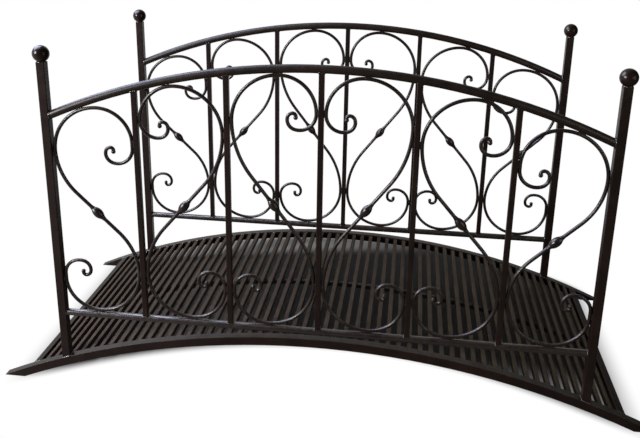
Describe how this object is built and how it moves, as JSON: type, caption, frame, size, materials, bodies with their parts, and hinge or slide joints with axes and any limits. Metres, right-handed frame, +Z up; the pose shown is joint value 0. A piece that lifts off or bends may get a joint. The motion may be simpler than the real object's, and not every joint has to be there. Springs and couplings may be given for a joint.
{
  "type": "arched garden bridge",
  "caption": "Low arched garden footbridge of dark painted steel with a slatted deck, square posts with ball finials and railings filled with S-scrolls.",
  "frame": {"origin": "centre of the bridge on the ground, level with the soles of its feet", "axes": "+X along the bridge, +Y across it away from the camera's side, +Z up"},
  "size_m": [1.524, 0.6414, 0.8125],
  "materials": {
    "frame_paint": "semi-gloss dark brown paint",
    "slat_paint": "worn satin dark brown paint"
  },
  "bodies": {
    "root": {"near_stringer": "frame_paint", "far_stringer": "frame_paint", "centre_support": "frame_paint", "left_end_bar": "frame_paint", "right_end_bar": "frame_paint", "slats_far_left": "slat_paint", "slats_mid_left": "slat_paint", "slats_mid_right": "slat_paint", "slats_far_right": "slat_paint", "near_left_post": "frame_paint", "near_right_post": "frame_paint", "far_left_post": "frame_paint", "far_right_post": "frame_paint", "near_left_ball": "frame_paint", "near_right_ball": "frame_paint", "far_left_ball": "frame_paint", "far_right_ball": "frame_paint", "near_top_rail": "frame_paint", "far_top_rail": "frame_paint", "near_bottom_rail": "frame_paint", "far_bottom_rail": "frame_paint", "near_bar_1": "frame_paint", "near_bar_2": "frame_paint", "near_bar_3": "frame_paint", "near_bar_4": "frame_paint", "near_bar_5": "frame_paint", "far_bar_1": "frame_paint", "far_bar_2": "frame_paint", "far_bar_3": "frame_paint", "far_bar_4": "frame_paint", "far_bar_5": "frame_paint", "near_scroll_1": "frame_paint", "near_scroll_2": "frame_paint", "near_scroll_3": "frame_paint", "near_scroll_4": "frame_paint", "near_scroll_5": "frame_paint", "near_scroll_6": "frame_paint", "far_scroll_1": "frame_paint", "far_scroll_2": "frame_paint", "far_scroll_3": "frame_paint", "far_scroll_4": "frame_paint", "far_scroll_5": "frame_paint", "far_scroll_6": "frame_paint"}
  },
  "joints": []
}
